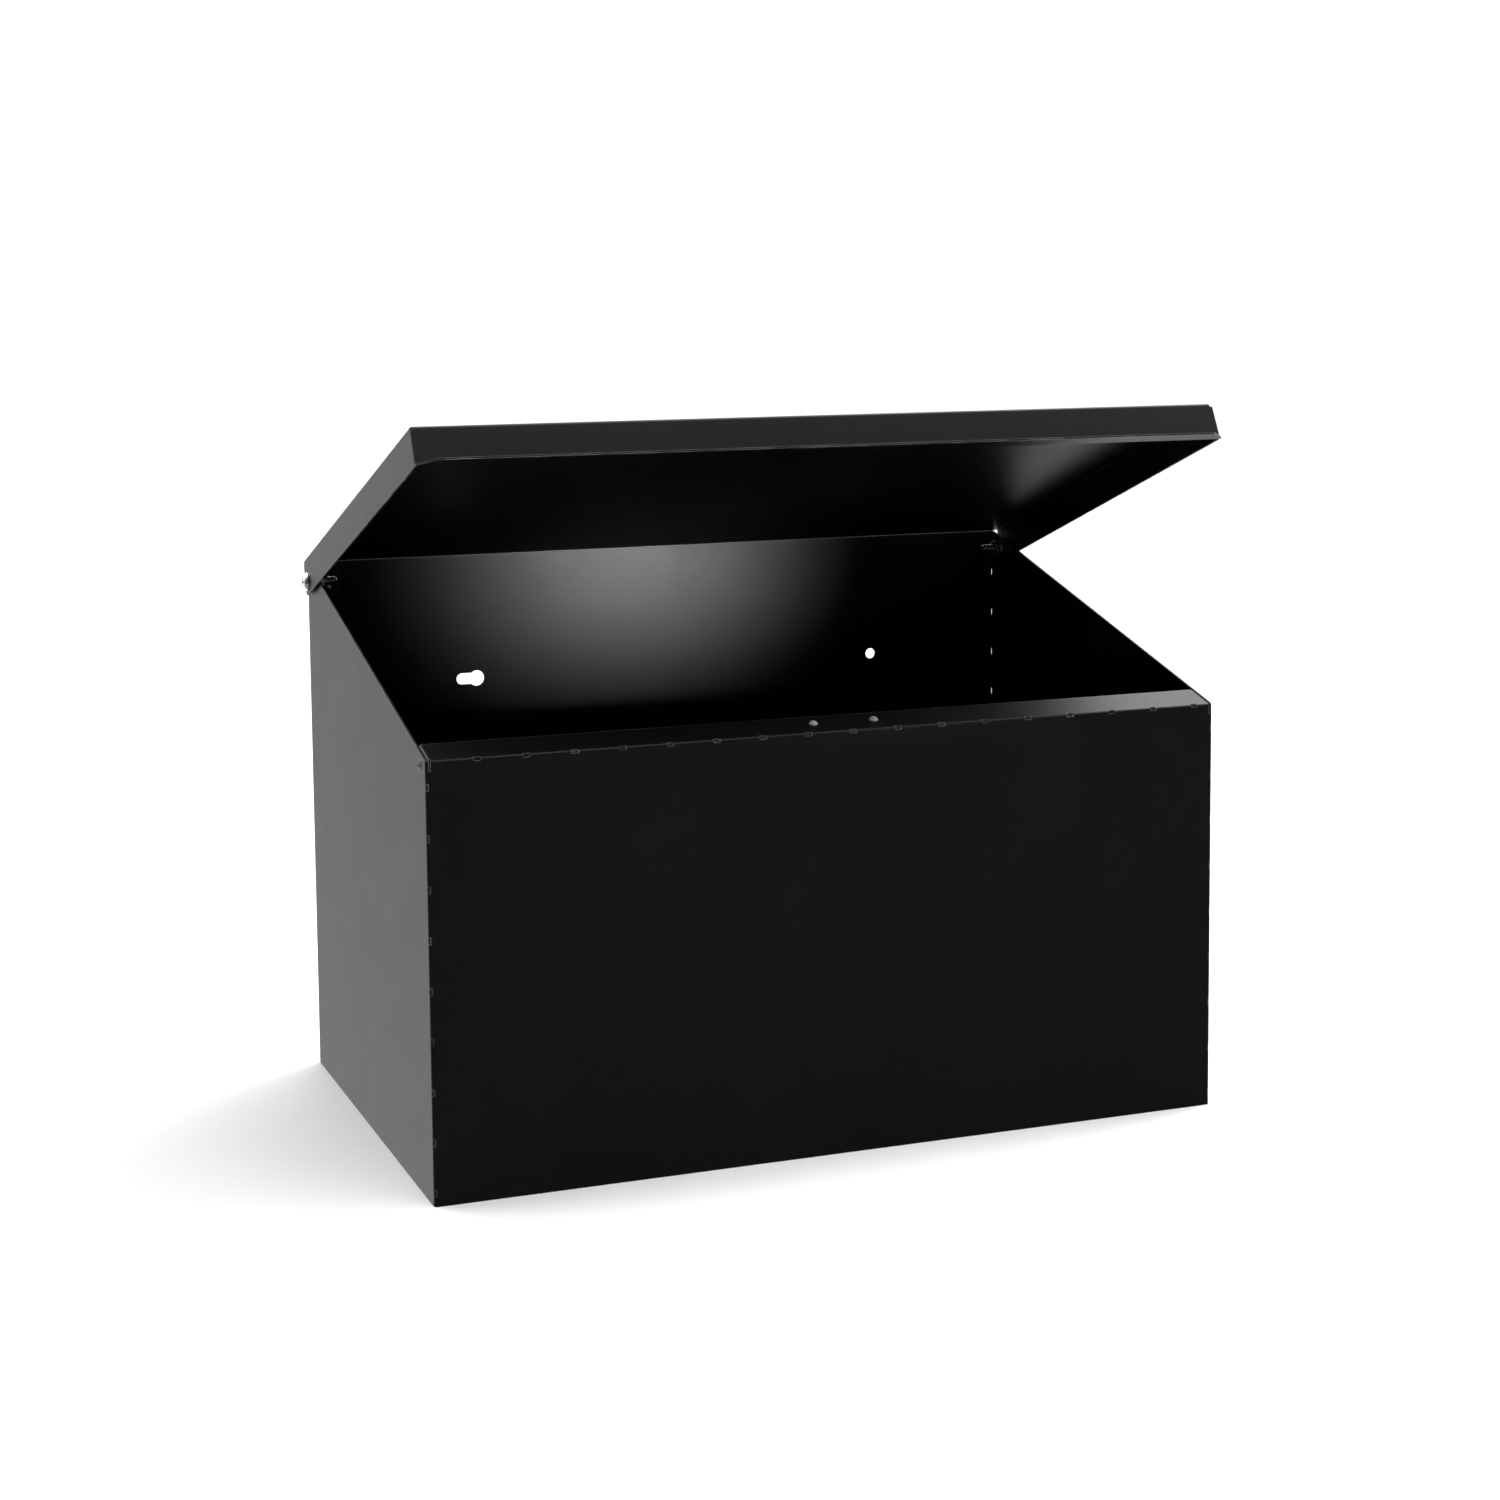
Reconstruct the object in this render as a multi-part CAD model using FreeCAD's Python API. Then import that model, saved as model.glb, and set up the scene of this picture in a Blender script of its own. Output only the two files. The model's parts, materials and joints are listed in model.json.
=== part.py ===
import FreeCAD, Part
import math
import os

# Wall mailbox of folded sheet steel, in mm. X runs across the box, +Y points at the wall and +Z is up.
# The origin lies on the back face, halfway across and level with the two wall holes.
# The lid is modelled open, as far as its rear edge lets it turn.

V = FreeCAD.Vector

# Housing, outside sizes; heights are measured from the base
WIDTH = 500.0
DEPTH = 310.0
FRONT_HEIGHT = 255.0
SIDE_REAR_HEIGHT = 337.0
BACK_HEIGHT = 336.5
WALL_HOLE_HEIGHT = 252.5

# Sheet and folds
SHEET = 1.2
BEND_OUTER = 2.0
BEND_INNER = BEND_OUTER - SHEET
LAYER_GAP = 0.1

# Stitched folds: short slots right through the sheet mark each fold
STITCH_CUT = SHEET + 0.3
STITCH_SLOT = 4.0
STITCH_PITCH_ACROSS = 28.57
STITCH_PITCH_UP = 29.0
FIRST_STITCH_FRONT_TOP = 29.8
TOP_STITCH_FRONT = 240.0
TOP_STITCH_REAR = 306.5

# Rear seam: the left side's flange lies inside the back panel
SEAM_FLANGE = 20.0
SEAM_FLANGE_TOP = 335.0
SEAM_FLANGE_CHAMFER = 3.0
BACK_EDGE_INSET = 6.0
SEAM_RIVET_INSET = 12.5
SEAM_RIVET_HEIGHTS = (28.0, 125.0, 222.0, 319.0)

# Front lip, folded in along the slope of the sides, with a tab down each side
LIP_DEPTH = 23.0
LIP_TAB_START = 3.0
LIP_TAB_LENGTH = 19.0
LIP_TAB_DROP = 13.0
LIP_FOLD_INSET = 2.8
LIP_FOLD_LEG = 6.0
LIP_RIVET_DEPTH = 12.3
LIP_RIVET_HEIGHT = 250.8

# Wall holes, measured from the left side
KEYHOLE_SLOT_END = 103.2
KEYHOLE_ENTRY = 113.4
KEYHOLE_SLOT_WIDTH = 7.6
KEYHOLE_ENTRY_DIAMETER = 10.5
ROUND_HOLE_AT = 402.8
ROUND_HOLE_DIAMETER = 7.3

# Bottom tray, inside the wrap
TRAY_FLANGE = 13.0
TRAY_CORNER = 3.0
TRAY_SEAM_CLEARANCE = 1.0
DRAIN_INSET = 40.0
DRAIN_DIAMETER = 6.0

# Lid: lengths from the hinge axis along the plate, heights square to it
HINGE_DEPTH = 294.5
HINGE_HEIGHT = 325.2
LID_OPEN_DEG = 33.87
LID_OVERHANG = 2.75
LID_PLATE_HEIGHT = 16.2
LID_REAR = 8.2
LID_FRONT = 307.0
LID_FLANGE_DEPTH = 24.0
LID_SKIRT_TILT_DEG = 8.5
LID_LIP = 12.2
LID_LIP_MITRE = 10.7
LID_LIP_SQUARE = 1.5
LID_CORNER_GAP = 0.6
LID_TIP_RADIUS = 3.0
LID_REAR_NOTCH = 1.5

# Hinge hardware, M6
SCREW_RADIUS = 3.0
SCREW_END_INSET = 16.0
SCREW_TIP_CHAMFER = 0.8
HEAD_RADIUS = 6.2
HEAD_RIM = 0.8
HEAD_HEIGHT = 3.8
RECESS_RADIUS = 2.9
RECESS_DEPTH = 2.4
RECESS_ARM = 1.3
RUNNING_GAP = 0.05
LOOSE_HOLE_RADIUS = 3.2
SPACER_THICKNESS = 1.5
SPACER_RADIUS = 6.5
WASHER_THICKNESS = 1.6
WASHER_RADIUS = 6.0
NUT_FLATS = 10.0
NUT_HEX_HEIGHT = 4.2
NUT_HEIGHT = 6.0
NUT_COLLAR_RADIUS = 4.7
INSERT_RADIUS = 4.1
INSERT_HEIGHT = 1.5
INSERT_RECESS = 0.3

# Blind rivets
RIVET_RADIUS = 2.0
RIVET_HEAD_RADIUS = 3.7
RIVET_HEAD_HEIGHT = 1.0
RIVET_SUNK_DEPTH = 0.9
RIVET_SUNK_RADIUS = 3.2
RIVET_BULB_RADIUS = 2.9
RIVET_BULB_LENGTH = 3.5
RIVET_HOLE_GAP = 0.05
MANDREL_RADIUS = 1.0
MANDREL_HEAD_RADIUS = 1.8
MANDREL_HEAD_HEIGHT = 1.5
MANDREL_RECESS = 0.4

# Rubber lid buffers on the front lip
BUFFER_PLACES = (237.6, 276.3)
BUFFER_DEPTH = 12.5
BUFFER_RADIUS = 2.7
BUFFER_HEIGHT = 1.8
BUFFER_STEM_RADIUS = 1.9
BUFFER_BARB_RADIUS = 2.5
BUFFER_BARB_HEIGHT = 2.2

# Places worked out from the sizes above, in the part's own frame
HALF_WIDTH = WIDTH / 2
FRONT_Y = -DEPTH
BASE_Z = -WALL_HOLE_HEIGHT
FRONT_TOP_Z = FRONT_HEIGHT + BASE_Z
SLOPE = math.atan2(SIDE_REAR_HEIGHT - FRONT_HEIGHT, DEPTH)
SLOPE_DEG = math.degrees(SLOPE)
HINGE_Y = HINGE_DEPTH + FRONT_Y
HINGE_Z = HINGE_HEIGHT + BASE_Z
SEAM_FACE_Y = -SHEET - LAYER_GAP
INNER_X = HALF_WIDTH - SHEET
LID_SIDE_X = HALF_WIDTH + LID_OVERHANG
HEAD_SEAT_X = LID_SIDE_X + RUNNING_GAP
LIP_TAB_X = INNER_X - LAYER_GAP
TOOL_REACH = 5.0


def direction(start, end):
    """Unit vector from one flat point to the next."""
    length = math.hypot(end[0] - start[0], end[1] - start[1])
    return ((end[0] - start[0]) / length, (end[1] - start[1]) / length)


def turn_left(before, after):
    """True where a path turns left between two directions."""
    return before[0] * after[1] - before[1] * after[0] > 0


def shifted_path(points, distance):
    """A flat path moved sideways to its left, with mitred corners."""
    shifted = []
    for index, point in enumerate(points):
        before = direction(points[max(index - 1, 0)], points[max(index, 1)])
        last = len(points) - 1
        after = direction(points[min(index, last - 1)], points[min(index + 1, last)])
        across = (-before[1] - after[1], before[0] + after[0])
        share = distance / (1 + before[0] * after[0] + before[1] * after[1])
        shifted.append((point[0] + across[0] * share, point[1] + across[1] * share))
    return shifted


def rounded_edges(points, left_radius, right_radius, to_space):
    """Edges along a flat path, with a tangent arc at each corner."""
    edges = []
    start = points[0]
    for index in range(1, len(points) - 1):
        corner = points[index]
        before = direction(points[index - 1], corner)
        after = direction(corner, points[index + 1])
        radius = left_radius if turn_left(before, after) else right_radius
        half_turn = math.acos(before[0] * after[0] + before[1] * after[1]) / 2
        reach = radius * math.tan(half_turn)
        arc_start = (corner[0] - before[0] * reach, corner[1] - before[1] * reach)
        arc_end = (corner[0] + after[0] * reach, corner[1] + after[1] * reach)
        inward = direction(before, after)
        sink = radius / math.cos(half_turn) - radius
        middle = (corner[0] + inward[0] * sink, corner[1] + inward[1] * sink)
        edges.append(Part.LineSegment(to_space(start), to_space(arc_start)).toShape())
        edges.append(Part.Arc(to_space(arc_start), to_space(middle), to_space(arc_end)).toShape())
        start = arc_end
    edges.append(Part.LineSegment(to_space(start), to_space(points[-1])).toShape())
    return edges


def in_plane(plane, offset):
    """Function from a flat point to space, for a plane named by its two axes."""
    if plane == "xy":
        return lambda point: V(point[0], point[1], offset)
    if plane == "xz":
        return lambda point: V(point[0], offset, point[1])
    return lambda point: V(offset, point[0], point[1])


def sweep_of(plane, length):
    """Vector square to a named plane."""
    normals = {"xy": V(0, 0, length), "xz": V(0, length, 0), "yz": V(length, 0, 0)}
    return normals[plane]


def folded_sheet(points, plane, start, end):
    """Sheet of one thickness, folded along a path of its outer face and lying to the path's left."""
    to_space = in_plane(plane, start)
    other_face = shifted_path(points, SHEET)
    edges = rounded_edges(points, BEND_OUTER, BEND_INNER, to_space)
    edges += rounded_edges(other_face, BEND_INNER, BEND_OUTER, to_space)
    edges.append(Part.LineSegment(to_space(points[0]), to_space(other_face[0])).toShape())
    edges.append(Part.LineSegment(to_space(points[-1]), to_space(other_face[-1])).toShape())
    outline = Part.Wire(Part.__sortEdges__(edges))
    return Part.Face(outline).extrude(sweep_of(plane, end - start))


def prism(points, plane, start, end):
    """Solid with straight sides over a flat outline."""
    to_space = in_plane(plane, start)
    corners = [to_space(point) for point in points]
    outline = Part.makePolygon(corners + [corners[0]])
    return Part.Face(outline).extrude(sweep_of(plane, end - start))


def box(x_range, y_range, z_range):
    """Upright box between pairs of coordinates."""
    sizes = [high - low for low, high in (x_range, y_range, z_range)]
    return Part.makeBox(sizes[0], sizes[1], sizes[2], V(x_range[0], y_range[0], z_range[0]))


def dome(radius, height):
    """Spherical cap standing on the plane z = 0."""
    sphere_radius = (radius ** 2 + height ** 2) / (2 * height)
    sphere = Part.makeSphere(sphere_radius, V(0, 0, height - sphere_radius))
    return sphere.common(Part.makeCylinder(radius + 1, height + 1))


def aimed(shape, place, outward):
    """Shape built along +Z, turned to point outward and set on its place."""
    moved = shape.copy()
    moved.Placement = FreeCAD.Placement(place, FreeCAD.Rotation(V(0, 0, 1), outward))
    return moved


def other_side(shape):
    """Mirror image of a piece on the other side of the box."""
    return shape.mirror(V(0, 0, 0), V(1, 0, 0))


def merged(pieces):
    """One clean solid from overlapping pieces."""
    whole = pieces[0].fuse(pieces[1:])
    return whole.removeSplitter()


def side_top_at(y):
    """Height of the sloping side edges at a depth."""
    return FRONT_TOP_Z + (y - FRONT_Y) * math.tan(SLOPE)


def along_fold(centre):
    """Both ends of a slot, from its middle."""
    return (centre - STITCH_SLOT / 2, centre + STITCH_SLOT / 2)


def upright_fold_slots(x_range, y_range, top_slot):
    """Slots down one upright fold."""
    count = int(top_slot // STITCH_PITCH_UP) + 1
    heights = [BASE_Z + top_slot - STITCH_PITCH_UP * step for step in range(count)]
    return [box(x_range, y_range, along_fold(height)) for height in heights]


def front_top_slots():
    """Slots along the fold between the front and its lip."""
    y_range = (FRONT_Y - 1, FRONT_Y + STITCH_CUT)
    z_range = (FRONT_TOP_Z - STITCH_CUT, FRONT_TOP_Z + 1)
    count = int((WIDTH - FIRST_STITCH_FRONT_TOP) // STITCH_PITCH_ACROSS) + 1
    first = FIRST_STITCH_FRONT_TOP - HALF_WIDTH
    return [box(along_fold(first + STITCH_PITCH_ACROSS * step), y_range, z_range) for step in range(count)]


def front_lip():
    """Fold at the top of the front, its lip and the tabs down the sides."""
    slope = (math.cos(SLOPE), math.sin(SLOPE))
    lip_edge = (FRONT_Y + LIP_DEPTH * slope[0], FRONT_TOP_Z + LIP_DEPTH * slope[1])
    section = [lip_edge, (FRONT_Y, FRONT_TOP_Z), (FRONT_Y, FRONT_TOP_Z - LIP_FOLD_LEG)]
    half_fold = HALF_WIDTH - LIP_FOLD_INSET
    fold = folded_sheet(section, "yz", -half_fold, half_fold)
    across = [(LIP_TAB_X, -LIP_TAB_DROP), (LIP_TAB_X, 0), (-LIP_TAB_X, 0), (-LIP_TAB_X, -LIP_TAB_DROP)]
    tabs = folded_sheet(across, "xz", LIP_TAB_START, LIP_TAB_START + LIP_TAB_LENGTH)
    tabs.rotate(V(0, 0, 0), V(1, 0, 0), SLOPE_DEG)
    tabs.translate(V(0, FRONT_Y, FRONT_TOP_Z))
    return [fold, tabs]


def keyhole():
    """Keyhole with a slot that points left and a round entry."""
    entry_x = KEYHOLE_ENTRY - HALF_WIDTH
    end_x = KEYHOLE_SLOT_END - HALF_WIDTH
    half_slot = KEYHOLE_SLOT_WIDTH / 2
    depth = 2 * SHEET
    entry = Part.makeCylinder(KEYHOLE_ENTRY_DIAMETER / 2, depth, V(entry_x, -depth, 0), V(0, 1, 0))
    end = Part.makeCylinder(half_slot, depth, V(end_x, -depth, 0), V(0, 1, 0))
    slot = box((end_x, entry_x), (-depth, 0), (-half_slot, half_slot))
    shape = merged([entry, end, slot])
    shape.translate(V(0, SHEET / 2, 0))
    return shape


def round_wall_hole():
    """Round hole for the second wall screw."""
    start = V(ROUND_HOLE_AT - HALF_WIDTH, -2 * SHEET, 0)
    return Part.makeCylinder(ROUND_HOLE_DIAMETER / 2, 4 * SHEET, start, V(0, 1, 0))


def cross_bore(radius, y, z):
    """Tool for a hole right through both sides."""
    length = WIDTH + 4 * TOOL_REACH
    return Part.makeCylinder(radius, length, V(-length / 2, y, z), V(1, 0, 0))


def seam_rivet_places():
    """Centres of the rear seam rivets on the back face."""
    x = SEAM_RIVET_INSET - HALF_WIDTH
    return [V(x, 0, height + BASE_Z) for height in SEAM_RIVET_HEIGHTS]


def seam_rivet_hole(place):
    """Hole through flange and back panel, sunk for a flush head."""
    radius = RIVET_RADIUS + RIVET_HOLE_GAP
    straight = Part.makeCylinder(radius, 4 * SHEET, V(0, 0, -4 * SHEET))
    sunk_radius = RIVET_SUNK_RADIUS + RIVET_HOLE_GAP
    sunk = Part.makeCone(radius, sunk_radius, RIVET_SUNK_DEPTH, V(0, 0, -RIVET_SUNK_DEPTH))
    return aimed(merged([straight, sunk]), place, V(0, 1, 0))


def buffer_places():
    """Seats of the lid buffers on the upper face of the front lip."""
    y = FRONT_Y + BUFFER_DEPTH
    return [V(x - HALF_WIDTH, y, side_top_at(y)) for x in BUFFER_PLACES]


def body_wrap():
    """Front, sides and back, folded from one sheet, with the seam at the rear left."""
    plan = [
        (SEAM_FLANGE - HALF_WIDTH, SEAM_FACE_Y),
        (-HALF_WIDTH, SEAM_FACE_Y),
        (-HALF_WIDTH, FRONT_Y),
        (HALF_WIDTH, FRONT_Y),
        (HALF_WIDTH, 0),
        (BACK_EDGE_INSET - HALF_WIDTH, 0),
    ]
    back_top = BACK_HEIGHT + BASE_Z
    side_top = SIDE_REAR_HEIGHT + BASE_Z
    seam_top = SEAM_FLANGE_TOP + BASE_Z
    seam_edge = SEAM_FLANGE - HALF_WIDTH
    roof = side_top + TOOL_REACH
    wall = folded_sheet(plan, "xy", BASE_Z, side_top + 1)
    above_sides = [
        (FRONT_Y - TOOL_REACH, side_top_at(FRONT_Y - TOOL_REACH)),
        (TOOL_REACH, side_top_at(TOOL_REACH)),
        (TOOL_REACH, roof + TOOL_REACH),
        (FRONT_Y - TOOL_REACH, roof + TOOL_REACH),
    ]
    above_chamfer = [
        (seam_edge - SEAM_FLANGE_CHAMFER, seam_top),
        (seam_edge + 1, seam_top - SEAM_FLANGE_CHAMFER - 1),
        (seam_edge + 1, seam_top),
    ]
    front_fold_zone = box(
        (BEND_OUTER - HALF_WIDTH, HALF_WIDTH - BEND_OUTER),
        (FRONT_Y - 1, FRONT_Y + SHEET + 0.5),
        (FRONT_TOP_Z - LIP_FOLD_LEG, roof),
    )
    flange_depth = (SEAM_FACE_Y - SHEET - 1, SEAM_FACE_Y)
    wall = wall.cut([
        prism(above_sides, "yz", -HALF_WIDTH - 1, HALF_WIDTH + 1),
        box((BACK_EDGE_INSET - HALF_WIDTH - 1, HALF_WIDTH - BEND_OUTER), (SEAM_FACE_Y, 1), (back_top, roof)),
        box((BEND_OUTER - HALF_WIDTH, seam_edge + 1), flange_depth, (seam_top, roof)),
        prism(above_chamfer, "xz", flange_depth[0], flange_depth[1]),
        front_fold_zone,
    ])
    sheet = merged([wall] + front_lip())
    left = (-HALF_WIDTH - 1, STITCH_CUT - HALF_WIDTH)
    right = (HALF_WIDTH - STITCH_CUT, HALF_WIDTH + 1)
    front = (FRONT_Y - 1, FRONT_Y + STITCH_CUT)
    slots = upright_fold_slots(left, front, TOP_STITCH_FRONT)
    slots += upright_fold_slots(right, front, TOP_STITCH_FRONT)
    slots += upright_fold_slots(right, (-STITCH_CUT, 1), TOP_STITCH_REAR)
    seam_corner = (SEAM_FACE_Y - STITCH_CUT, SEAM_FACE_Y + 1)
    slots += upright_fold_slots(left, seam_corner, TOP_STITCH_REAR)
    slots += front_top_slots()
    holes = [keyhole(), round_wall_hole()]
    holes.append(cross_bore(LOOSE_HOLE_RADIUS, HINGE_Y, HINGE_Z))
    lip_hole_z = LIP_RIVET_HEIGHT + BASE_Z
    holes.append(cross_bore(RIVET_RADIUS + RIVET_HOLE_GAP, FRONT_Y + LIP_RIVET_DEPTH, lip_hole_z))
    holes += [seam_rivet_hole(place) for place in seam_rivet_places()]
    lip_normal = V(0, -math.sin(SLOPE), math.cos(SLOPE))
    stem_hole = Part.makeCylinder(BUFFER_STEM_RADIUS + RIVET_HOLE_GAP, 4 * SHEET, V(0, 0, -2 * SHEET))
    holes += [aimed(stem_hole, place, lip_normal) for place in buffer_places()]
    return sheet.cut(slots + holes)


def bottom_tray():
    """Floor of the box: a shallow tray, welded inside the foot of the wrap."""
    top = BASE_Z + TRAY_FLANGE
    front_y = FRONT_Y + SHEET
    across = [(-INNER_X, top), (-INNER_X, BASE_Z), (INNER_X, BASE_Z), (INNER_X, top)]
    along = [(front_y, top), (front_y, BASE_Z), (-SHEET, BASE_Z), (-SHEET, top)]
    half_along = INNER_X - TRAY_CORNER
    pieces = [
        folded_sheet(across, "xz", front_y + TRAY_CORNER, -SHEET - TRAY_CORNER),
        folded_sheet(along, "yz", -half_along, half_along),
    ]
    seam_clear_x = SEAM_FLANGE - HALF_WIDTH + TRAY_SEAM_CLEARANCE
    seam_notch = box((-INNER_X - 1, seam_clear_x), (-SHEET - TRAY_CORNER, 0), (BASE_Z - 1, top + 1))
    drains = []
    for x in (DRAIN_INSET - HALF_WIDTH, HALF_WIDTH - DRAIN_INSET):
        for y in (FRONT_Y + DRAIN_INSET, -DRAIN_INSET):
            drains.append(Part.makeCylinder(DRAIN_DIAMETER / 2, 4 * SHEET, V(x, y, BASE_Z - SHEET)))
    return merged(pieces).cut([seam_notch] + drains)


def lid_side_folds():
    """Lid plate with its two side flanges, about the hinge axis and with the plate level."""
    foot = LID_PLATE_HEIGHT - LID_FLANGE_DEPTH
    across = [
        (LID_SIDE_X, foot),
        (LID_SIDE_X, LID_PLATE_HEIGHT),
        (-LID_SIDE_X, LID_PLATE_HEIGHT),
        (-LID_SIDE_X, foot),
    ]
    sheet = folded_sheet(across, "xz", -LID_FRONT - 2 * TOOL_REACH, LID_REAR)
    lean = math.tan(math.radians(LID_SKIRT_TILT_DEG))
    top = LID_PLATE_HEIGHT + 1
    edge_at_top = -LID_FRONT + SHEET + LID_CORNER_GAP + lean
    edge_at_foot = edge_at_top - (LID_FLANGE_DEPTH + 2) * lean
    far = -LID_FRONT - 3 * TOOL_REACH
    ahead_of_flanges = [(edge_at_top, top), (edge_at_foot, foot - 1), (far, foot - 1), (far, top)]
    front_fold_zone = box(
        (-LID_SIDE_X - 1, LID_SIDE_X + 1),
        (far, -LID_FRONT + BEND_OUTER),
        (LID_PLATE_HEIGHT - BEND_OUTER - 0.2, top),
    )
    tip_zone = box(
        (-LID_SIDE_X - 1, LID_SIDE_X + 1),
        (LID_REAR - LID_TIP_RADIUS, LID_REAR + 1),
        (foot - 1, foot + LID_TIP_RADIUS),
    )
    tip_round = cross_bore(LID_TIP_RADIUS, LID_REAR - LID_TIP_RADIUS, foot + LID_TIP_RADIUS)
    notch_y = (LID_REAR - LID_REAR_NOTCH, LID_REAR + 1)
    notch_z = (LID_PLATE_HEIGHT - BEND_OUTER - LID_REAR_NOTCH, top)
    notch_inner = LID_SIDE_X - BEND_OUTER
    notches = [
        box((notch_inner, LID_SIDE_X + 1), notch_y, notch_z),
        box((-LID_SIDE_X - 1, -notch_inner), notch_y, notch_z),
    ]
    ahead = prism(ahead_of_flanges, "yz", -LID_SIDE_X - 1, LID_SIDE_X + 1)
    return sheet.cut([ahead, front_fold_zone, tip_zone.cut(tip_round)] + notches)


def lid_front_folds():
    """Front of the lid: skirt leaning forward and the lip folded out from its foot."""
    lean = math.tan(math.radians(LID_SKIRT_TILT_DEG))
    lip_top = LID_PLATE_HEIGHT - LID_FLANGE_DEPTH + SHEET
    skirt_foot = -LID_FRONT - (LID_FLANGE_DEPTH - SHEET) * lean
    lip_edge = skirt_foot - LID_LIP
    section = [
        (-LID_FRONT + 2 * TOOL_REACH, LID_PLATE_HEIGHT),
        (-LID_FRONT, LID_PLATE_HEIGHT),
        (skirt_foot, lip_top),
        (lip_edge, lip_top),
    ]
    half_fold = LID_SIDE_X - BEND_OUTER
    middle = folded_sheet(section, "yz", -half_fold, half_fold)
    full_width = folded_sheet(section, "yz", -LID_SIDE_X, LID_SIDE_X)
    below_plate = box(
        (-LID_SIDE_X - 1, LID_SIDE_X + 1),
        (lip_edge - 1, -LID_FRONT + TOOL_REACH),
        (lip_top - 2 * SHEET, LID_PLATE_HEIGHT - BEND_OUTER - 0.3),
    )
    mitre_start = skirt_foot - LID_LIP_SQUARE
    outside = LID_SIDE_X + 2 * TOOL_REACH
    mitre = [
        (LID_SIDE_X + 1, mitre_start + 1),
        (LID_SIDE_X - LID_LIP_MITRE - 1, mitre_start - LID_LIP_MITRE - 1),
        (outside, mitre_start - LID_LIP_MITRE - 1),
        (outside, mitre_start + 1),
    ]
    corner = prism(mitre, "xy", lip_top - 2 * SHEET, lip_top + SHEET)
    sheet = merged([middle, full_width.common(below_plate)])
    return sheet.cut([corner, other_side(corner)])


def lid_sheet():
    """Lid, folded from one sheet, turned about the hinge axis to where it stands open."""
    sheet = merged([lid_side_folds(), lid_front_folds()])
    lid = sheet.cut(cross_bore(SCREW_RADIUS + RUNNING_GAP, 0, 0))
    lid.rotate(V(0, 0, 0), V(1, 0, 0), SLOPE_DEG - LID_OPEN_DEG)
    lid.translate(V(0, HINGE_Y, HINGE_Z))
    return lid


def at_right_hinge(shape, x):
    """Piece built along +Z, aimed outward on the right end of the hinge axis."""
    return aimed(shape, V(x, HINGE_Y, HINGE_Z), V(1, 0, 0))


def cross_recess():
    """Tapered cross of the screw head, with its mouth at z = 0."""
    cone = Part.makeCone(RECESS_ARM / 2, RECESS_RADIUS, RECESS_DEPTH, V(0, 0, -RECESS_DEPTH))
    reach = RECESS_RADIUS + 1
    half_arm = RECESS_ARM / 2
    arms = merged([
        box((-reach, reach), (-half_arm, half_arm), (-RECESS_DEPTH, 0)),
        box((-half_arm, half_arm), (-reach, reach), (-RECESS_DEPTH, 0)),
    ])
    return cone.common(arms)


def hinge_screw():
    """Pan head screw of the right hinge point, which the lid turns on."""
    rim = Part.makeCylinder(HEAD_RADIUS, HEAD_RIM)
    cap = dome(HEAD_RADIUS, HEAD_HEIGHT - HEAD_RIM)
    cap.translate(V(0, 0, HEAD_RIM))
    length = HEAD_SEAT_X - (HALF_WIDTH - SCREW_END_INSET)
    shank = Part.makeCylinder(SCREW_RADIUS, length - SCREW_TIP_CHAMFER, V(0, 0, SCREW_TIP_CHAMFER - length))
    tip = Part.makeCone(SCREW_RADIUS - SCREW_TIP_CHAMFER, SCREW_RADIUS, SCREW_TIP_CHAMFER, V(0, 0, -length))
    recess = cross_recess()
    recess.translate(V(0, 0, HEAD_HEIGHT))
    return at_right_hinge(merged([rim, cap, shank, tip]).cut(recess), HEAD_SEAT_X)


def flat_ring(outer_radius, inner_radius, thickness):
    """Plain ring standing on z = 0."""
    return Part.makeCylinder(outer_radius, thickness).cut(Part.makeCylinder(inner_radius, thickness))


def hinge_spacer_washer():
    """Nylon washer between the housing and the lid flange."""
    return at_right_hinge(flat_ring(SPACER_RADIUS, LOOSE_HOLE_RADIUS, SPACER_THICKNESS), HALF_WIDTH)


def hinge_plain_washer():
    """Steel washer under the nut, inside the housing."""
    ring = flat_ring(WASHER_RADIUS, LOOSE_HOLE_RADIUS, WASHER_THICKNESS)
    return at_right_hinge(ring, INNER_X - WASHER_THICKNESS)


def hinge_lock_nut():
    """Hexagon lock nut with a round collar that holds the insert."""
    corner_radius = NUT_FLATS / math.sqrt(3)
    corners = [
        (corner_radius * math.cos(math.radians(60 * k)), corner_radius * math.sin(math.radians(60 * k)))
        for k in range(6)
    ]
    hexagon = prism(corners, "xy", -NUT_HEX_HEIGHT, 0)
    bevel = Part.makeCone(NUT_FLATS / 2, NUT_FLATS / 2 + NUT_HEX_HEIGHT * 2, NUT_HEX_HEIGHT)
    bevel.translate(V(0, 0, -NUT_HEX_HEIGHT))
    collar = Part.makeCylinder(NUT_COLLAR_RADIUS, NUT_HEIGHT, V(0, 0, -NUT_HEIGHT))
    bore = Part.makeCylinder(SCREW_RADIUS + RUNNING_GAP, NUT_HEIGHT, V(0, 0, -NUT_HEIGHT))
    seat_depth = INSERT_HEIGHT + INSERT_RECESS
    seat = Part.makeCylinder(INSERT_RADIUS, seat_depth, V(0, 0, -NUT_HEIGHT))
    nut = merged([hexagon.common(bevel), collar]).cut([bore, seat])
    return at_right_hinge(nut, INNER_X - WASHER_THICKNESS)


def lock_nut_insert():
    """Nylon ring in the collar of the lock nut."""
    ring = flat_ring(INSERT_RADIUS, SCREW_RADIUS + RUNNING_GAP, INSERT_HEIGHT)
    return at_right_hinge(ring, INNER_X - WASHER_THICKNESS - NUT_HEIGHT + INSERT_RECESS)


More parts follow.
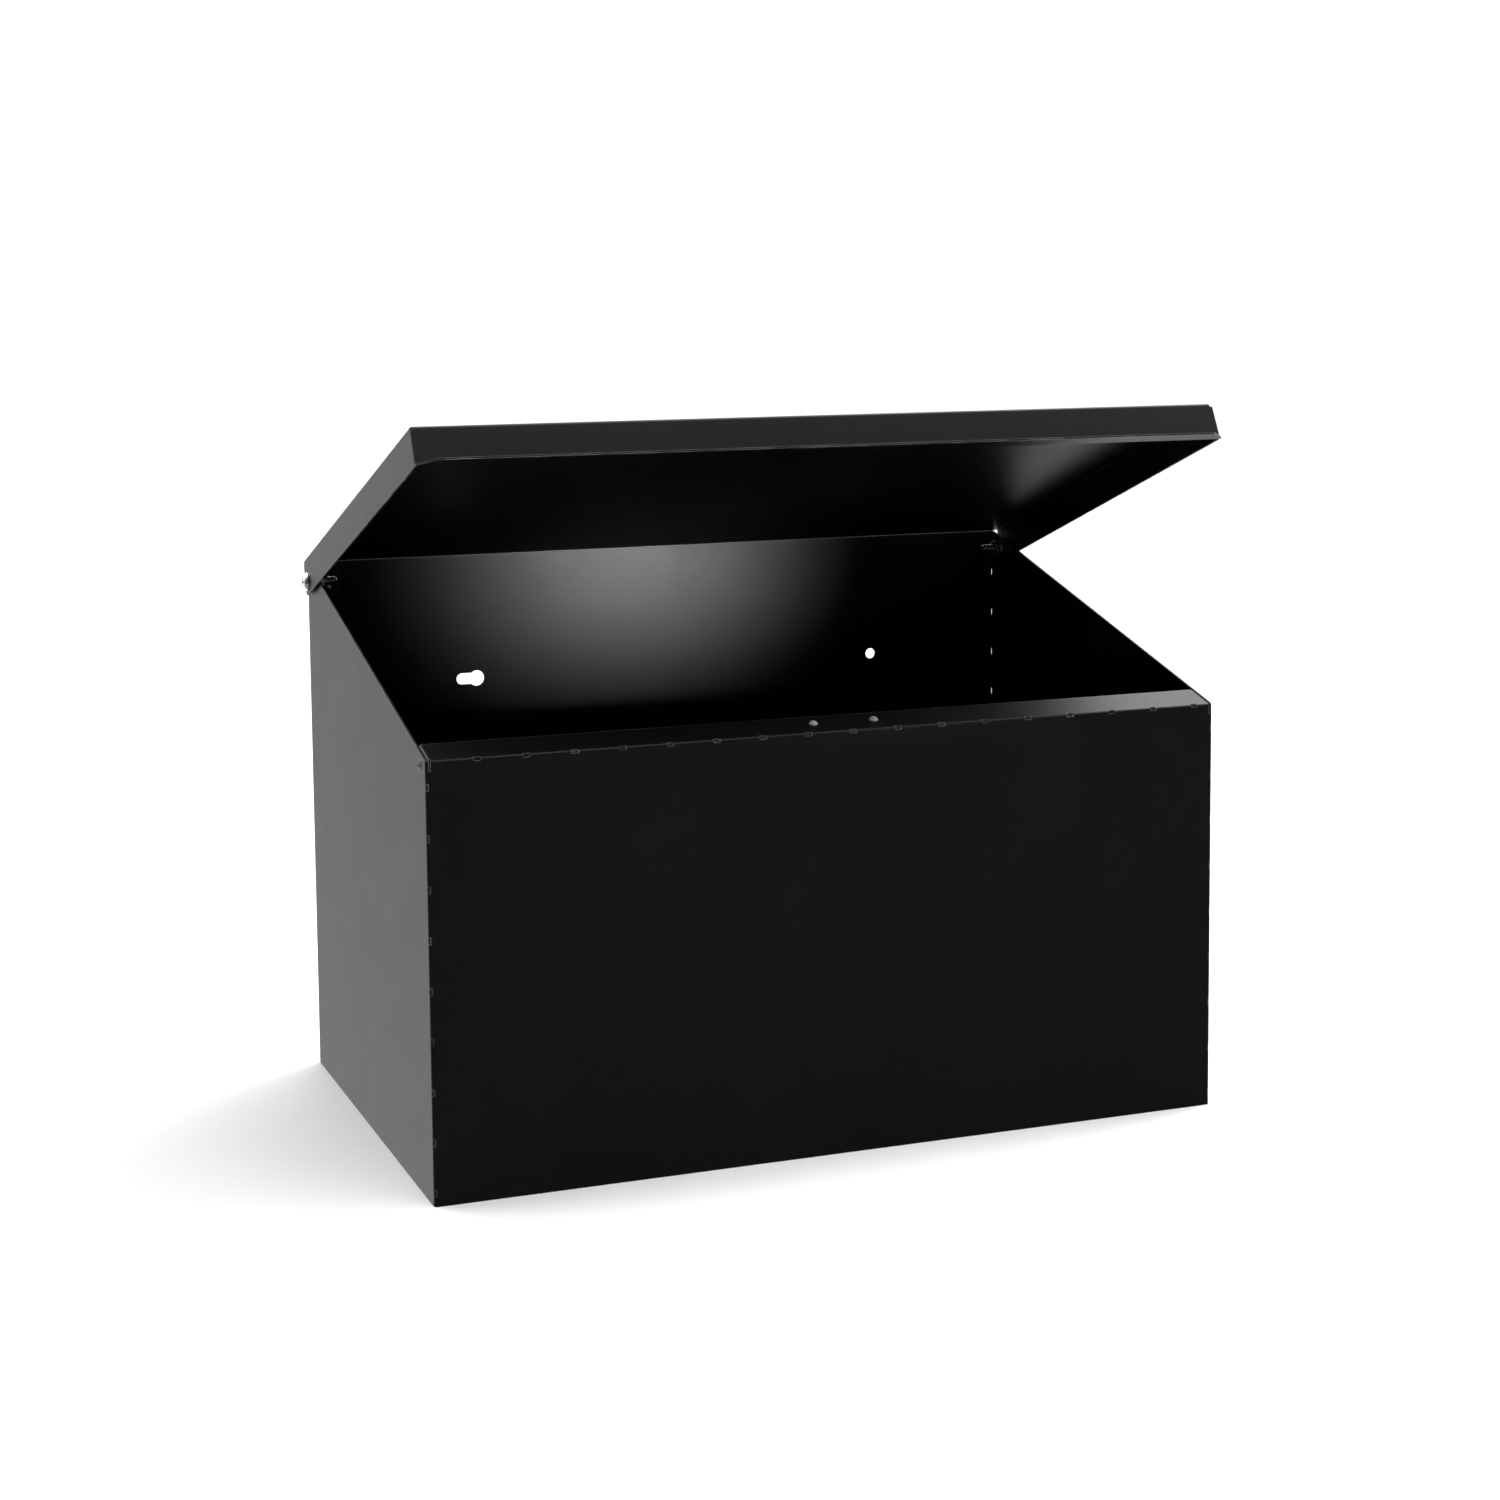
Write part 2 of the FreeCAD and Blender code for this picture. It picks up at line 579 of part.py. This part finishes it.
def blind_rivet(grip, sunk):
    """Tubular rivet with its head at z = 0 and above, or sunk to just below it."""
    if sunk:
        head = Part.makeCone(RIVET_RADIUS, RIVET_SUNK_RADIUS, RIVET_SUNK_DEPTH, V(0, 0, -RIVET_SUNK_DEPTH))
    else:
        head = dome(RIVET_HEAD_RADIUS, RIVET_HEAD_HEIGHT)
    shank = Part.makeCylinder(RIVET_RADIUS, grip + 1, V(0, 0, -grip - 1))
    half_bulb = RIVET_BULB_LENGTH / 2
    belly = Part.makeCylinder(RIVET_BULB_RADIUS, half_bulb, V(0, 0, -grip - half_bulb))
    taper = Part.makeCone(RIVET_RADIUS, RIVET_BULB_RADIUS, half_bulb)
    taper.translate(V(0, 0, -grip - RIVET_BULB_LENGTH))
    length = grip + RIVET_BULB_LENGTH
    bore = Part.makeCylinder(MANDREL_RADIUS + RIVET_HOLE_GAP, length + 2, V(0, 0, -length))
    return merged([head, shank, belly, taper]).cut(bore)


def rivet_mandrel(grip):
    """Broken pin left in a blind rivet, with its head against the bulb."""
    tail = -grip - RIVET_BULB_LENGTH
    pin = Part.makeCylinder(MANDREL_RADIUS, -MANDREL_RECESS - tail, V(0, 0, tail))
    cap = aimed(dome(MANDREL_HEAD_RADIUS, MANDREL_HEAD_HEIGHT), V(0, 0, tail), V(0, 0, -1))
    return merged([pin, cap])


def lip_rivet_place():
    """Centre of the rivet through the right side and the lip's tab."""
    return V(HALF_WIDTH, FRONT_Y + LIP_RIVET_DEPTH, LIP_RIVET_HEIGHT + BASE_Z)


def lip_rivet():
    """Domed rivet that ties the right tab of the front lip to the side."""
    return aimed(blind_rivet(2 * SHEET + LAYER_GAP, False), lip_rivet_place(), V(1, 0, 0))


def lip_rivet_mandrel():
    """Pin of the right lip rivet."""
    return aimed(rivet_mandrel(2 * SHEET + LAYER_GAP), lip_rivet_place(), V(1, 0, 0))


def rear_seam_pieces(piece):
    """The same piece at each place along the rear seam."""
    return Part.makeCompound([aimed(piece, place, V(0, 1, 0)) for place in seam_rivet_places()])


def lid_buffer(place):
    """Rubber dome on the front lip, held by a barb below it."""
    cap = dome(BUFFER_RADIUS, BUFFER_HEIGHT)
    stem_length = SHEET + BUFFER_BARB_HEIGHT
    stem = Part.makeCylinder(BUFFER_STEM_RADIUS, stem_length, V(0, 0, -stem_length))
    barb = Part.makeCone(BUFFER_STEM_RADIUS / 2, BUFFER_BARB_RADIUS, BUFFER_BARB_HEIGHT)
    barb.translate(V(0, 0, -stem_length))
    stem = stem.common(merged([barb, Part.makeCylinder(BUFFER_STEM_RADIUS, SHEET, V(0, 0, -SHEET))]))
    lip_normal = V(0, -math.sin(SLOPE), math.cos(SLOPE))
    return aimed(merged([cap, stem, barb]), place, lip_normal)


def save(name, shape):
    """One STEP file for one named piece."""
    shape.exportStep("parts/" + name + ".step")


def main():
    os.makedirs("parts", exist_ok=True)
    save("body_wrap", body_wrap())
    save("bottom_tray", bottom_tray())
    save("lid_sheet", lid_sheet())
    both_sides = {
        "hinge_screw": hinge_screw(),
        "hinge_spacer_washer": hinge_spacer_washer(),
        "hinge_plain_washer": hinge_plain_washer(),
        "hinge_lock_nut": hinge_lock_nut(),
        "lock_nut_insert": lock_nut_insert(),
        "lip_rivet": lip_rivet(),
        "lip_rivet_mandrel": lip_rivet_mandrel(),
    }
    for name, shape in both_sides.items():
        save(name + "_right", shape)
        save(name + "_left", other_side(shape))
    seam_grip = 2 * SHEET + LAYER_GAP
    save("rear_seam_rivets", rear_seam_pieces(blind_rivet(seam_grip, True)))
    save("rear_seam_rivet_mandrels", rear_seam_pieces(rivet_mandrel(seam_grip)))
    left_place, right_place = buffer_places()
    save("lid_buffer_left", lid_buffer(left_place))
    save("lid_buffer_right", lid_buffer(right_place))


main()
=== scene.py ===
import json
import math

import bmesh
import bpy
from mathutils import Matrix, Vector

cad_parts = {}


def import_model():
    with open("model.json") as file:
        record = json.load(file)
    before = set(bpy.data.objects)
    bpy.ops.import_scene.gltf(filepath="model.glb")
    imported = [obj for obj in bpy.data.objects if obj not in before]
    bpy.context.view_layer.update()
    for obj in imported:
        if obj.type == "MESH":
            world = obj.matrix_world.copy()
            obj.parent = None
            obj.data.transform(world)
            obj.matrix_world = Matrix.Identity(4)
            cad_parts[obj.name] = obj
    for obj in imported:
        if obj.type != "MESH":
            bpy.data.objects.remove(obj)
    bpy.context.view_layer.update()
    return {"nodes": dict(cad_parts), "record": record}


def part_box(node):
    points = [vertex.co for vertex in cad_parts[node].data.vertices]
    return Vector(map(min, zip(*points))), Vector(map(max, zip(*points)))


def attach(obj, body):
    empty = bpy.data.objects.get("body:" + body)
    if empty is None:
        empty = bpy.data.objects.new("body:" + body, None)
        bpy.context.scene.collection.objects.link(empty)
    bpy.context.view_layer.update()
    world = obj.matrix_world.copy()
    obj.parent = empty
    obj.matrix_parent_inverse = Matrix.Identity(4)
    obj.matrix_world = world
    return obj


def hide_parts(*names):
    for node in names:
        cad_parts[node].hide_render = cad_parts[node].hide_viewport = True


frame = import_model()

# Camera: a long lens a little above the box, to its left, with the frame shifted down
CAMERA_PLACE = (-0.6095, -1.7600, 0.2702)
CAMERA_TURN_DEG = (84.172, 0.487, -20.937)
CAMERA_LENS_MM = 65.03
CAMERA_SENSOR_MM = 36.0
CAMERA_SHIFT_DOWN = 0.1333

# Powder coat
COAT_COLOUR = (0.0028, 0.0028, 0.0030, 1)
COAT_CLOUD_COLOUR = (0.0036, 0.0036, 0.0038, 1)
COAT_SPECK_COLOUR = (0.008, 0.008, 0.0083, 1)
# Light grey for rubbed edges; on the powder coat it is also a painted highlight along sheet edges
# and bends
WORN_EDGE_AND_HIGHLIGHT_COLOUR = (0.30, 0.30, 0.31, 1)
COAT_ROUGHNESS = 0.40
ROUGHNESS_SWING = 0.01
COAT_SPECULAR = 0.27
GRAIN_SCALE = 1500.0
EDGE_RADIUS = 0.0004
BEVEL_SAMPLES = 6

# Metals and lacquer
ZINC_COLOUR = (0.86, 0.87, 0.88, 1)
ZINC_TARNISH = (0.60, 0.60, 0.58, 1)
PIN_COLOUR = (0.34, 0.34, 0.35, 1)
PIN_RUST = (0.16, 0.12, 0.10, 1)
LACQUER_COLOUR = (0.010, 0.010, 0.010, 1)
LACQUER_PALE = (0.018, 0.018, 0.019, 1)

# Surroundings: brightness by direction, in parts of a unit vector
WORLD_STRENGTH = 1.05
DARK_SIDE = 0.04
FADE_TILT = 0.35
FADE_SPAN = (0.20, 0.55)
OVERHEAD = 3.2
OVERHEAD_SPAN = (0.2, 0.9)
FLOOR_GLOW = 0.20
GLOW_SPAN = (-0.16, -0.38)

# Floor
FLOOR_COLOUR = (0.93, 0.93, 0.93, 1)
FLOOR_PALE = (0.95, 0.95, 0.95, 1)
FLOOR_HALF_SIZE = 30.0
FLOOR_ROUGHNESS = 0.9
FLOOR_SPECULAR = 0.1

# Area lights: sizes in metres, power in watts; a narrow spread keeps a light to one place
WIDE_SPREAD_DEG = 180
KEY = {
    "place": (2.6, 0.3, 2.2),
    "aim": (0.0, -0.15, -0.2),
    "size": (3.4, 3.4),
    "power": 150,
}
BEND_LINE = {
    "place": (0.15, -0.70, 1.50),
    "aim": (0.0, -0.31, 0.0),
    "size": (0.35, 0.35),
    "power": 3.5,
}
FLOOR_FILL = {
    "place": (0.05, -0.95, 1.90),
    "aim": (0.05, -0.95, 0.0),
    "size": (0.9, 0.3),
    "power": 10,
    "spread_deg": 36,
}
MOUTH = {
    "place": (0.34, -1.05, 0.10),
    "aim": (-0.03, 0.0, 0.072),
    "size": (0.14, 0.03),
    "power": 0.075,
    "spread_deg": 11,
}

# Thread of the hinge screws, M6
THREAD_RADIUS = 0.003
THREAD_PITCH = 0.001
THREAD_DEPTH = 0.0005
THREAD_TIP_RADIUS = 0.0022
THREAD_SIDES = 40
THREAD_ROWS_PER_TURN = 8
SHANK_MARGIN = 1.01

FLOOR_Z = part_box("bottom_tray")[0].z
HINGE_Y, HINGE_Z = frame["record"]["behaviour"]["joints"][0]["pos_m"][1:]


def ramp(tree, source, low, high, out_low, out_high):
    """Node that maps a value from one range onto another and holds it at the ends."""
    made = tree.nodes.new("ShaderNodeMapRange")
    made.inputs["From Min"].default_value = low
    made.inputs["From Max"].default_value = high
    made.inputs["To Min"].default_value = out_low
    made.inputs["To Max"].default_value = out_high
    tree.links.new(source, made.inputs["Value"])
    return made


class Shader:
    """Small helper that lays out one material's nodes."""

    def __init__(self, name):
        self.material = bpy.data.materials.new(name)
        self.material.use_nodes = True
        self.tree = self.material.node_tree
        self.surface = self.tree.nodes["Principled BSDF"]

    def node(self, kind, **settings):
        made = self.tree.nodes.new(kind)
        for key, value in settings.items():
            setattr(made, key, value)
        return made

    def link(self, source, target):
        self.tree.links.new(source, target)

    def noise(self, scale, detail=2.0, roughness=0.5):
        made = self.node("ShaderNodeTexNoise")
        made.inputs["Scale"].default_value = scale
        made.inputs["Detail"].default_value = detail
        made.inputs["Roughness"].default_value = roughness
        place = self.node("ShaderNodeTexCoord")
        self.link(place.outputs["Object"], made.inputs["Vector"])
        return made.outputs["Fac"]

    def remap(self, source, low, high, out_low, out_high):
        return ramp(self.tree, source, low, high, out_low, out_high).outputs["Result"]

    def math(self, operation, first, second):
        made = self.node("ShaderNodeMath", operation=operation)
        for socket, value in zip(made.inputs, (first, second)):
            if isinstance(value, (int, float)):
                socket.default_value = value
            else:
                self.link(value, socket)
        return made.outputs["Value"]

    def blend(self, factor, first, second):
        made = self.node("ShaderNodeMix", data_type="RGBA")
        self.link(factor, made.inputs["Factor"])
        for socket, value in ((made.inputs["A"], first), (made.inputs["B"], second)):
            if isinstance(value, tuple):
                socket.default_value = value
            else:
                self.link(value, socket)
        return made.outputs["Result"]

    def bump(self, height, strength, distance, after=None):
        made = self.node("ShaderNodeBump")
        made.inputs["Strength"].default_value = strength
        made.inputs["Distance"].default_value = distance
        self.link(height, made.inputs["Height"])
        if after:
            self.link(after, made.inputs["Normal"])
        return made.outputs["Normal"]

    def edges(self, radius):
        """1 on sharp outer edges and 0 on flat faces."""
        bevel = self.node("ShaderNodeBevel", samples=BEVEL_SAMPLES)
        bevel.inputs["Radius"].default_value = radius
        normal = self.node("ShaderNodeNewGeometry").outputs["Normal"]
        dot = self.node("ShaderNodeVectorMath", operation="DOT_PRODUCT")
        self.link(bevel.outputs["Normal"], dot.inputs[0])
        self.link(normal, dot.inputs[1])
        return self.remap(dot.outputs["Value"], 0.99, 0.80, 0.0, 1.0)


def powder_coat():
    """Black powder coat with a fine grain, faint orange peel, dust and rubbed edges; the light
    grey on the edges is partly wear and partly a painted highlight along edges and bends.
    """
    s = Shader("black_powder_coat")
    cloud = s.noise(9.0, 3.0)
    grain = s.noise(GRAIN_SCALE, 2.0, 0.6)
    peel = s.noise(260.0, 2.0, 0.5)
    base = s.blend(s.remap(cloud, 0.35, 0.7, 0.0, 1.0), COAT_COLOUR, COAT_CLOUD_COLOUR)
    speck = s.blend(s.remap(grain, 0.60, 0.75, 0.0, 1.0), base, COAT_SPECK_COLOUR)
    # Light grey on sharp edges: rubbed-thin coat, and a painted highlight on the edges and bends
    edge_wear_and_highlight = s.math("MULTIPLY", s.edges(0.0008), s.remap(s.noise(60.0, 3.0), 0.35, 0.65, 0.25, 0.75))
    s.link(s.blend(edge_wear_and_highlight, speck, WORN_EDGE_AND_HIGHLIGHT_COLOUR), s.surface.inputs["Base Color"])
    smoothest, roughest = COAT_ROUGHNESS - ROUGHNESS_SWING, COAT_ROUGHNESS + ROUGHNESS_SWING
    rough = s.remap(s.noise(35.0, 4.0, 0.6), 0.3, 0.7, smoothest, roughest)
    s.link(rough, s.surface.inputs["Roughness"])
    s.surface.inputs["IOR"].default_value = 1.5
    s.surface.inputs["Specular IOR Level"].default_value = COAT_SPECULAR
    soft_edges = s.node("ShaderNodeBevel", samples=BEVEL_SAMPLES)
    soft_edges.inputs["Radius"].default_value = EDGE_RADIUS
    rippled = s.bump(peel, 0.10, 0.0006, soft_edges.outputs["Normal"])
    s.link(s.bump(grain, 0.30, 0.00022, rippled), s.surface.inputs["Normal"])
    return s.material


def zinc_plate():
    """Bright zinc plate with turned rings, small pits and darker tarnish."""
    s = Shader("zinc_plated_steel")
    tarnish = s.remap(s.noise(420.0, 4.0, 0.6), 0.45, 0.75, 0.0, 0.7)
    s.link(s.blend(tarnish, ZINC_COLOUR, ZINC_TARNISH), s.surface.inputs["Base Color"])
    s.surface.inputs["Metallic"].default_value = 1.0
    s.link(s.remap(s.noise(900.0, 3.0), 0.3, 0.7, 0.16, 0.34), s.surface.inputs["Roughness"])
    s.link(s.bump(s.noise(2600.0, 2.0), 0.25, 0.0001), s.surface.inputs["Normal"])
    return s.material


def pin_steel():
    """Bare steel of the broken rivet pins."""
    s = Shader("rivet_pin_steel")
    rust = s.remap(s.noise(900.0, 4.0, 0.7), 0.5, 0.7, 0.0, 0.8)
    s.link(s.blend(rust, PIN_COLOUR, PIN_RUST), s.surface.inputs["Base Color"])
    s.surface.inputs["Metallic"].default_value = 1.0
    s.link(s.remap(s.noise(1500.0, 3.0), 0.3, 0.7, 0.3, 0.55), s.surface.inputs["Roughness"])
    s.link(s.bump(s.noise(3000.0, 3.0), 0.4, 0.0001), s.surface.inputs["Normal"])
    return s.material


def rivet_lacquer():
    """Black lacquer on the rivets, rubbed thin at the rims."""
    s = Shader("dark_rivet")
    edge_wear_and_highlight = s.math("MULTIPLY", s.edges(0.0004), s.remap(s.noise(500.0, 3.0), 0.35, 0.65, 0.2, 0.9))
    base = s.blend(s.remap(s.noise(700.0), 0.4, 0.6, 0.0, 1.0), LACQUER_COLOUR, LACQUER_PALE)
    s.link(s.blend(edge_wear_and_highlight, base, WORN_EDGE_AND_HIGHLIGHT_COLOUR), s.surface.inputs["Base Color"])
    s.link(s.remap(s.noise(600.0, 3.0), 0.3, 0.7, 0.28, 0.42), s.surface.inputs["Roughness"])
    s.link(s.bump(s.noise(1800.0, 2.0), 0.3, 0.0001), s.surface.inputs["Normal"])
    return s.material


def moulded(name, light, dark, roughness):
    """Matt moulded plastic or rubber with a fine spark-eroded grain."""
    s = Shader(name)
    mottle = s.remap(s.noise(300.0, 3.0), 0.35, 0.65, 0.0, 1.0)
    s.link(s.blend(mottle, light, dark), s.surface.inputs["Base Color"])
    rough = s.remap(s.noise(800.0, 3.0), 0.3, 0.7, roughness - 0.06, roughness + 0.06)
    s.link(rough, s.surface.inputs["Roughness"])
    s.link(s.bump(s.noise(4000.0, 2.0), 0.35, 0.00008), s.surface.inputs["Normal"])
    return s.material


def dress(materials):
    """Give each CAD piece the finished material of its slot."""
    for sub in frame["record"]["subparts"]:
        piece = frame["nodes"][sub["node"]]
        for slot in piece.material_slots:
            slot.material = materials[sub["material_slot"]]


def thread_row(mesh, x, from_tip):
    """One ring of points round the hinge axis, on a helical thread."""
    ring = []
    for side in range(THREAD_SIDES):
        turn = side / THREAD_SIDES
        wave = 0.5 - 0.5 * math.cos(2 * math.pi * (x / THREAD_PITCH + turn))
        radius = min(THREAD_RADIUS - THREAD_DEPTH * wave, THREAD_TIP_RADIUS + from_tip)
        angle = 2 * math.pi * turn
        place = (x, HINGE_Y + radius * math.cos(angle), HINGE_Z + radius * math.sin(angle))
        ring.append(mesh.verts.new(place))
    return ring


def remove_shank(mesh, seat_x, outward):
    """Take away the plain shank from its tip up to the spacer washer."""
    shank = []
    for face in mesh.faces:
        middle = face.calc_center_median()
        from_axis = math.hypot(middle.y - HINGE_Y, middle.z - HINGE_Z)
        if from_axis < THREAD_RADIUS * SHANK_MARGIN and (seat_x - middle.x) * outward > 0:
            shank.append(face)
    bmesh.ops.delete(mesh, geom=shank, context="FACES")


def cut_thread(mesh, tip_x, outward, length):
    """Build the threaded shank outward from its closed tip."""
    rows = int(length / THREAD_PITCH * THREAD_ROWS_PER_TURN)
    before = thread_row(mesh, tip_x, 0.0)
    mesh.faces.new(before)
    for row in range(1, rows + 1):
        from_tip = length * row / rows
        ring = thread_row(mesh, tip_x + outward * from_tip, from_tip)
        for index in range(THREAD_SIDES):
            after = (index + 1) % THREAD_SIDES
            face = mesh.faces.new((before[index], before[after], ring[after], ring[index]))
            face.smooth = True
        before = ring


def threaded_screw(side):
    """Hinge screw with a cut thread in place of the plain shank."""
    node = "hinge_screw_" + side
    original = frame["nodes"][node]
    low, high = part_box(node)
    spacer_low, spacer_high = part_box("hinge_spacer_washer_" + side)
    outward = 1 if side == "right" else -1
    tip_x = low.x if outward > 0 else high.x
    seat_x = spacer_high.x if outward > 0 else spacer_low.x
    mesh = bmesh.new()
    mesh.from_mesh(original.data)
    mesh.transform(original.matrix_world)
    remove_shank(mesh, seat_x, outward)
    cut_thread(mesh, tip_x, outward, abs(seat_x - tip_x))
    bmesh.ops.recalc_face_normals(mesh, faces=mesh.faces)
    data = bpy.data.meshes.new("threaded_screw_" + side)
    mesh.to_mesh(data)
    mesh.free()
    data.materials.clear()
    data.materials.append(original.material_slots[0].material)
    made = bpy.data.objects.new("threaded_screw_" + side, data)
    bpy.context.scene.collection.objects.link(made)
    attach(made, "housing")
    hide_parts(node)


def camera():
    data = bpy.data.cameras.new("camera")
    data.lens = CAMERA_LENS_MM
    data.sensor_width = CAMERA_SENSOR_MM
    data.shift_y = -CAMERA_SHIFT_DOWN
    made = bpy.data.objects.new("camera", data)
    made.location = CAMERA_PLACE
    made.rotation_euler = [math.radians(angle) for angle in CAMERA_TURN_DEG]
    bpy.context.scene.collection.objects.link(made)
    bpy.context.scene.camera = made


def area_light(name, place, aim, size, power, spread_deg=WIDE_SPREAD_DEG):
    data = bpy.data.lights.new(name, "AREA")
    data.shape = "RECTANGLE"
    data.size, data.size_y = size
    data.energy = power
    data.spread = math.radians(spread_deg)
    made = bpy.data.objects.new(name, data)
    made.location = place
    made.rotation_euler = (Vector(aim) - Vector(place)).to_track_quat("-Z", "Y").to_euler()
    bpy.context.scene.collection.objects.link(made)
    return made


def floor():
    """Pale floor that the box stands on."""
    grid = bmesh.new()
    bmesh.ops.create_grid(grid, x_segments=8, y_segments=8, size=FLOOR_HALF_SIZE)
    mesh = bpy.data.meshes.new("floor")
    grid.to_mesh(mesh)
    grid.free()
    made = bpy.data.objects.new("floor", mesh)
    made.location = (0, 0, FLOOR_Z)
    bpy.context.scene.collection.objects.link(made)
    s = Shader("floor")
    s.link(s.blend(s.noise(3.0), FLOOR_COLOUR, FLOOR_PALE), s.surface.inputs["Base Color"])
    s.surface.inputs["Roughness"].default_value = FLOOR_ROUGHNESS
    s.surface.inputs["Specular IOR Level"].default_value = FLOOR_SPECULAR
    mesh.materials.append(s.material)
    made.visible_glossy = False


def world():
    """Bright behind and overhead, dark on the side the box faces, with a faint glow from below."""
    scene_world = bpy.data.worlds.new("world")
    bpy.context.scene.world = scene_world
    scene_world.use_nodes = True
    tree = scene_world.node_tree
    place = tree.nodes.new("ShaderNodeTexCoord")
    axes = tree.nodes.new("ShaderNodeSeparateXYZ")
    tree.links.new(place.outputs["Generated"], axes.inputs["Vector"])
    up = axes.outputs["Z"]
    rise = tree.nodes.new("ShaderNodeMath")
    rise.operation = "MULTIPLY_ADD"
    rise.inputs[1].default_value = FADE_TILT
    tree.links.new(up, rise.inputs[0])
    tree.links.new(axes.outputs["Y"], rise.inputs[2])
    fade = ramp(tree, rise.outputs["Value"], *FADE_SPAN, DARK_SIDE, WORLD_STRENGTH)
    fade.interpolation_type = "SMOOTHSTEP"
    overhead = ramp(tree, up, *OVERHEAD_SPAN, 1.0, OVERHEAD)
    total = tree.nodes.new("ShaderNodeMath")
    total.operation = "MULTIPLY"
    tree.links.new(fade.outputs["Result"], total.inputs[0])
    tree.links.new(overhead.outputs["Result"], total.inputs[1])
    below = ramp(tree, up, *GLOW_SPAN, 0.0, FLOOR_GLOW)
    with_glow = tree.nodes.new("ShaderNodeMath")
    with_glow.operation = "ADD"
    tree.links.new(total.outputs["Value"], with_glow.inputs[0])
    tree.links.new(below.outputs["Result"], with_glow.inputs[1])
    background = tree.nodes["Background"]
    background.inputs["Color"].default_value = (1, 1, 1, 1)
    tree.links.new(with_glow.outputs["Value"], background.inputs["Strength"])


def studio():
    """A soft key light, small lights over the front, and a narrow one aimed in under the lid."""
    bpy.context.scene.view_settings.view_transform = "Standard"
    world()
    floor()
    area_light("key", **KEY)
    area_light("bend line", **BEND_LINE)
    area_light("floor fill", **FLOOR_FILL)
    mouth = area_light("mouth", **MOUTH)
    mouth.visible_camera = False


dress({
    "black_powder_coat": powder_coat(),
    "zinc_plated_steel": zinc_plate(),
    "black_nylon": moulded("black_nylon", (0.020, 0.020, 0.020, 1), (0.030, 0.030, 0.030, 1), 0.5),
    "blue_nylon": moulded("blue_nylon", (0.05, 0.11, 0.30, 1), (0.07, 0.14, 0.36, 1), 0.4),
    "dark_rivet": rivet_lacquer(),
    "rivet_pin_steel": pin_steel(),
    "grey_rubber": moulded("grey_rubber", (0.30, 0.30, 0.29, 1), (0.38, 0.38, 0.37, 1), 0.6),
})
threaded_screw("left")
threaded_screw("right")
camera()
studio()
